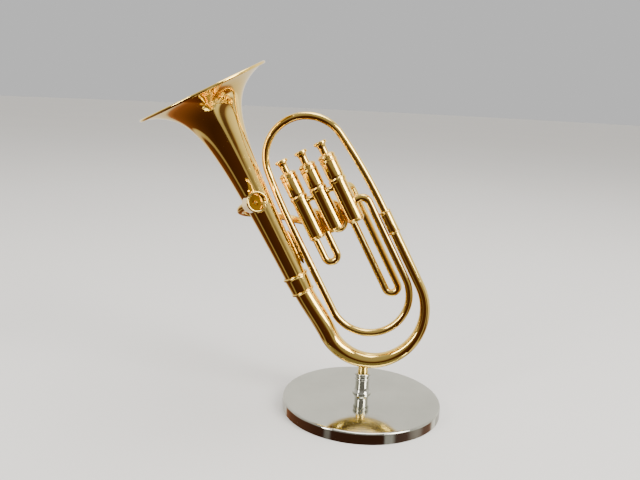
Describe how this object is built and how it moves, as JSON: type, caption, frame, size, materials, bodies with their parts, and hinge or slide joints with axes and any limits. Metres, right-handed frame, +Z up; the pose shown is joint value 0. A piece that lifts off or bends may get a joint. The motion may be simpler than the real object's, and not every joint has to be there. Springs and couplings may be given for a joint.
{
  "type": "miniature euphonium on a stand",
  "caption": "Miniature euphonium ornament that leans on a turned post over a round base, with sprung valves and a bell that opens upward.",
  "frame": {"origin": "centre of the round base's flat underside", "axes": "+Z up; +X to the right as seen from the mouthpiece's side, in the horn's plane; the horn leans toward -X and its mouthpiece is on the -Y side"},
  "size_m": [0.0759, 0.04, 0.0851],
  "materials": {
    "gold_plate": "mirror-polished gold plate",
    "nickel_plate": "mirror-polished nickel plate",
    "spring_steel": "plain steel"
  },
  "bodies": {
    "base": {"base_disc": "nickel_plate", "post": "nickel_plate", "base_screw": "spring_steel"},
    "horn": {"stand_peg": "gold_plate", "bell": "gold_plate", "bell_ferrule": "gold_plate", "bottom_bow": "gold_plate", "bow_ferrule": "gold_plate", "top_loop": "gold_plate", "inner_bow": "gold_plate", "bell_stay": "gold_plate", "leadpipe": "gold_plate", "mouthpiece": "gold_plate", "valve_casing_1": "gold_plate", "valve_casing_2": "gold_plate", "valve_casing_3": "gold_plate", "top_cap_1": "gold_plate", "top_cap_2": "gold_plate", "top_cap_3": "gold_plate", "bottom_cap_1": "gold_plate", "bottom_cap_2": "gold_plate", "bottom_cap_3": "gold_plate", "knuckle_1": "gold_plate", "knuckle_2": "gold_plate", "valve_loop_1": "gold_plate", "valve_loop_2": "gold_plate", "valve_loop_3": "gold_plate", "valve_spring_1": "spring_steel", "valve_spring_2": "spring_steel", "valve_spring_3": "spring_steel"},
    "valve_1_piston": {"piston_1": "gold_plate", "finger_button_1": "gold_plate"},
    "valve_2_piston": {"piston_2": "gold_plate", "finger_button_2": "gold_plate"},
    "valve_3_piston": {"piston_3": "gold_plate", "finger_button_3": "gold_plate"}
  },
  "joints": [
    {"name": "horn_swivel", "type": "hinge", "parent": "base", "child": "horn", "pos_m": [0, 0.0026, 0.0084], "axis": [0, 0, 1], "continuous": true},
    {"name": "valve_1_press", "type": "slide", "parent": "horn", "child": "valve_1_piston", "axis": [0.4787, 0, -0.878], "range_m": [0, 0.0014], "stiffness_N_per_m": 60, "springref_m": -0.0015, "deforming": ["valve_spring_1"]},
    {"name": "valve_2_press", "type": "slide", "parent": "horn", "child": "valve_2_piston", "axis": [0.4787, 0, -0.878], "range_m": [0, 0.0014], "stiffness_N_per_m": 60, "springref_m": -0.0015, "deforming": ["valve_spring_2"]},
    {"name": "valve_3_press", "type": "slide", "parent": "horn", "child": "valve_3_piston", "axis": [0.4787, 0, -0.878], "range_m": [0, 0.0014], "stiffness_N_per_m": 60, "springref_m": -0.0015, "deforming": ["valve_spring_3"]}
  ]
}
